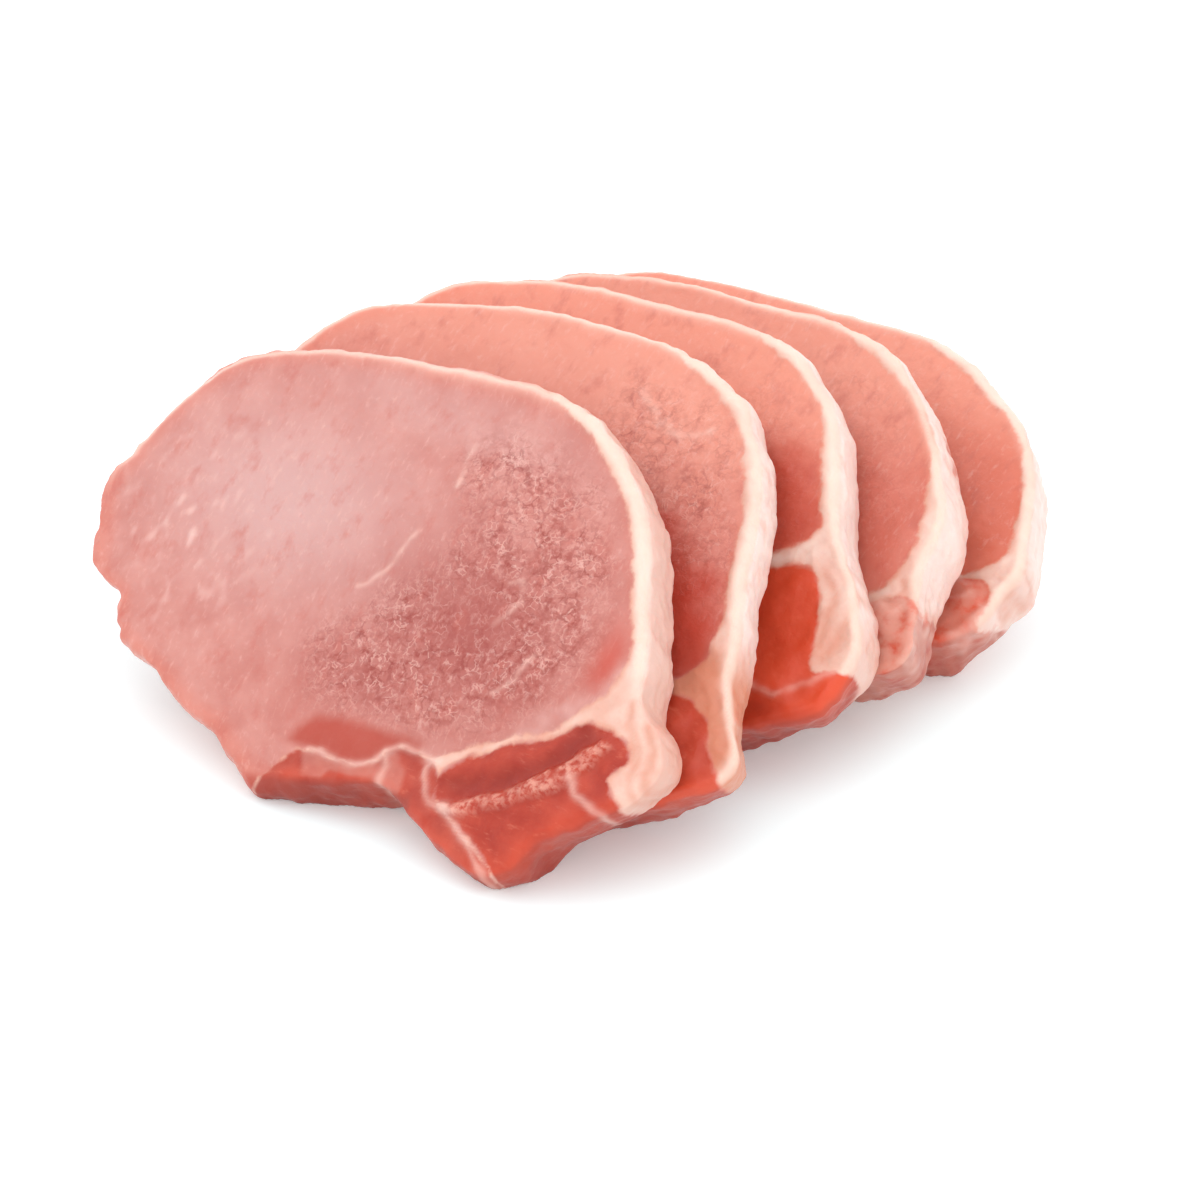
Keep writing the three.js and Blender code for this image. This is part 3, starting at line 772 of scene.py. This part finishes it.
# The crazed skin of the net: the size of its flakes in millimetres, and the share of it that
# their edges take. The edges swirl, so that no flake has straight sides.
SWIRL_SIZE = 1.25
SWIRL_BEND = 2.4
EDGE_CORE = 0.02
for name, size, width in (("crack", 2.3, 0.15), ("glint", 1.7, 0.12)):
    cloud = add(
        tree, "ShaderNodeTexNoise",
        {"Vector": place, "Scale": 1 / (SWIRL_SIZE * size), "Detail": 3},
    ).outputs["Color"]
    push = add(
        tree, "ShaderNodeVectorMath", {0: cloud, "Scale": SWIRL_BEND * size}, operation="SCALE"
    ).outputs[0]
    bent = add(tree, "ShaderNodeVectorMath", {0: place, 1: push}, operation="ADD").outputs[0]
    gap = add(
        tree, "ShaderNodeTexVoronoi", {"Vector": bent, "Scale": 1 / size},
        feature="DISTANCE_TO_EDGE",
    ).outputs["Distance"]
    shares[name] = add(
        tree, "ShaderNodeMapRange", {"Value": gap, "From Min": width, "From Max": EDGE_CORE},
        interpolation_type="SMOOTHSTEP",
    ).outputs[0]
for name, first, second in (
    ("net", "netted", "net cloud"),
    ("cracks", "crack", "crack breaks"), ("net cracks", "cracks", "net"),
    ("glints", "glint", "glint breaks"), ("net glints", "glints", "net"),
    ("rind", "skin", "back_edge"),
):
    shares[name] = add(
        tree, "ShaderNodeMath", {0: shares[first], 1: shares[second]}, operation="MULTIPLY"
    ).outputs[0]

# Each kind of flesh: its darker and lighter tone, then the tints laid over them, each with its
# strength and what it shows through.
colours = {}
for kind, dark, light, tints in (
    ("eye", "#c0756b", "#ce8b81", (
        # painted sheen
        ("#cfa29e", 0.9, "pale"),
        ("#a5524c", 0.85, "rose"),
        ("#de6c4d", 0.75, "salmon"),
        ("#e79c87", 0.7, "light"),
        ("#e8bdb3", 1, "fleck"),
        ("#be6459", 1, "flush"),
        ("#e8b8ae", 1, "fibre"),
        ("#9a3c34", 0.7, "net", "net pits"),
        ("#8e3029", 0.65, "net cracks"),
        ("#ebb9ae", 0.6, "net glints"),
        ("#c43a22", 0.6, "hot"),
        # painted shade from the slice in front
        ("#bb3620", 0.85, "shade"),
        # painted shade at the feet and in the hollow and seam, and the smooth strip's dark red
        ("#b0402f", 0.85, "deep"),
        ("#ecc3bb", 1, "veil"),
        ("#f0c3b3", 0.35, "ridge"),
        ("#f8dccd", 0.6, "edge_line"),
    )),
    ("side", "#a62f1e", "#bb432e", (
        ("#dd8068", 1, "strand"),
        ("#de5231", 0.9, "salmon"),
        # painted shade at the feet, in the hollow and along the seam
        ("#861d11", 0.75, "deep"),
        ("#d79281", 1, "film", "film cloud"),
        ("#96301f", 0.45, "skin"),
        ("#d9a396", 1, "veil"),
        ("#dd9c8a", 1, "torn", "torn grain"),
    )),
    ("fat", "#e2b5a6", "#edcfc2", (
        ("#efdbd5", 0.6, "skin"),
        ("#d9a595", 0.75, "blush"),
        ("#eeb9ae", 0.5, "rind"),
        ("#e8a898", 1, "fat fleck"),
        ("#cf7c5c", 0.7, "peach"),
        # painted shade in the fat's folds
        ("#d48a72", 0.7, "creased"),
        ("#f1d6c7", 0.8, "ridge"),
    )),
):
    flesh = add(
        tree, "ShaderNodeMix",
        {0: shares[f"{kind} cloud"], 6: linear(dark), 7: linear(light)}, data_type="RGBA",
    ).outputs[2]
    for tint, strength, *masks in tints:
        share = strength
        for mask in masks:
            share = add(
                tree, "ShaderNodeMath", {0: share, 1: shares[mask]}, operation="MULTIPLY"
            ).outputs[0]
        flesh = add(
            tree, "ShaderNodeMix", {0: share, 6: flesh, 7: linear(tint)}, data_type="RGBA"
        ).outputs[2]
    colours[kind] = flesh

# The three kinds meet along ragged edges, and membranes and veins lie over all of them.
colour = colours["eye"]
for kind in ("side", "fat"):
    ragged = add(
        tree, "ShaderNodeMath", {0: shares[kind], 1: shares["ragged edge"]}, operation="ADD"
    ).outputs[0]
    share = add(
        tree, "ShaderNodeMapRange", {"Value": ragged, "From Min": -0.4, "From Max": 0.5},
        interpolation_type="SMOOTHSTEP",
    ).outputs[0]
    colour = add(
        tree, "ShaderNodeMix", {0: share, 6: colour, 7: colours[kind]}, data_type="RGBA"
    ).outputs[2]
over = add(
    tree, "ShaderNodeMath", {0: shares["line"], 1: 0.75}, operation="MULTIPLY"
).outputs[0]
colour = add(
    tree, "ShaderNodeMix", {0: over, 6: colour, 7: linear("#eec6b9")}, data_type="RGBA"
).outputs[2]

relief = add(
    tree, "ShaderNodeMath", {0: shares["pores"], 1: shares["dents"]}, operation="ADD"
).outputs[0]
GLINT_RELIEF = 1.6
relief = add(
    tree, "ShaderNodeMath", {0: shares["net glints"], 1: GLINT_RELIEF, 2: relief},
    operation="MULTIPLY_ADD",
).outputs[0]
DIMPLE_DEPTH = 0.25 * MM
dimples = add(
    tree, "ShaderNodeBump", {"Height": relief, "Strength": 0.3, "Distance": DIMPLE_DEPTH}
).outputs[0]
LIGHT_SINKS = 1.5 * MM
shader = add(
    tree, "ShaderNodeBsdfPrincipled",
    {
        "Base Color": colour, "Roughness": shares["wet"], "Normal": dimples, "IOR": 1.36,
        "Subsurface Weight": 0.3, "Subsurface Scale": LIGHT_SINKS,
        "Subsurface Radius": (1, 0.35, 0.25), "Coat Weight": 0.1, "Coat Roughness": 0.22,
    },
)
add(tree, "ShaderNodeOutputMaterial", {"Surface": shader.outputs[0]})

for number, cut in enumerate(SLICES):
    name = f"slice_{number + 1}"
    piece = bpy.data.objects.new(f"{name}_meat", slice_mesh(cut, number))
    bpy.context.scene.collection.objects.link(piece)
    piece.data.materials.append(pork)
    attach(piece, "root")
    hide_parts(f"{name}_eye", f"{name}_fat", f"{name}_side_muscle")

# The studio: matt white paper that gives off a faint glow of its own, painted light that lifts
# the shadows the meat casts on it, and white all round, so that shadows stay light and close to
# the meat.
paper = bpy.data.materials.new("white_paper_with_painted_glow")
paper.use_nodes = True
paper_shader = paper.node_tree.nodes["Principled BSDF"]
paper_shader.inputs["Base Color"].default_value = linear("#e4f3f5")
paper_shader.inputs["Roughness"].default_value = 0.9
paper_shader.inputs["Specular IOR Level"].default_value = 0.1
paper_shader.inputs["Emission Color"].default_value = linear("#ffffff")
# Painted glow: the paper gives off light of its own, though it is no lamp.
paper_shader.inputs["Emission Strength"].default_value = 0.22
ground = bmesh.new()
FLOOR_REACH = 4
bmesh.ops.create_grid(ground, x_segments=1, y_segments=1, size=FLOOR_REACH)
floor_mesh = bpy.data.meshes.new("floor")
ground.to_mesh(floor_mesh)
ground.free()
floor = bpy.data.objects.new("floor", floor_mesh)
floor.data.materials.append(paper)
bpy.context.scene.collection.objects.link(floor)

scene = bpy.context.scene
scene.view_settings.view_transform = "Standard"
sky = bpy.data.worlds.new("white_room")
sky.use_nodes = True
sky.node_tree.nodes["Background"].inputs["Color"].default_value = (1, 1, 1, 1)
sky.node_tree.nodes["Background"].inputs["Strength"].default_value = 1.26
scene.world = sky

# The camera looks at the middle of the row from the right of its front, from above and from a
# little under arm's length, through a long lens.
CAMERA_TURN = radians(38)
CAMERA_RISE = radians(28)
CAMERA_AWAY = 0.7
TARGET_HEIGHT = 40.43
LENS = 143.42
back = Vector((
    sin(CAMERA_TURN) * cos(CAMERA_RISE), -cos(CAMERA_TURN) * cos(CAMERA_RISE), sin(CAMERA_RISE)
))
target = (ROW_SHIFT + Vector((0, 0, TARGET_HEIGHT))) * MM
camera_data = bpy.data.cameras.new("camera")
camera_data.sensor_width = 36
camera_data.lens = LENS
camera_data.clip_start = 0.05
camera = bpy.data.objects.new("camera", camera_data)
camera.location = target + back * CAMERA_AWAY
camera.rotation_mode = "QUATERNION"
camera.rotation_quaternion = (-back).to_track_quat("-Z", "Y")
scene.collection.objects.link(camera)
scene.camera = camera

# Two soft boxes hang high over the camera's side of the row, the stronger one on the left.
SOFT_BOX_AWAY = 1.5
SOFT_BOX_SIZE = 1.2
left = Vector((-cos(CAMERA_TURN), -sin(CAMERA_TURN), 0))
from_front = Vector((sin(CAMERA_TURN), -cos(CAMERA_TURN), 0))
for name, aim, power in (("left", 0.35 * left, 2.2), ("right", -0.5 * left, 1)):
    toward_box = (aim + 0.2 * from_front + Vector((0, 0, 0.85))).normalized()
    box_data = bpy.data.lights.new(f"soft_box_{name}", "AREA")
    box_data.shape = "DISK"
    box_data.size = SOFT_BOX_SIZE
    box_data.energy = power
    soft_box = bpy.data.objects.new(f"soft_box_{name}", box_data)
    soft_box.location = target + toward_box * SOFT_BOX_AWAY
    soft_box.rotation_mode = "QUATERNION"
    soft_box.rotation_quaternion = (-toward_box).to_track_quat("-Z", "Y")
    scene.collection.objects.link(soft_box)
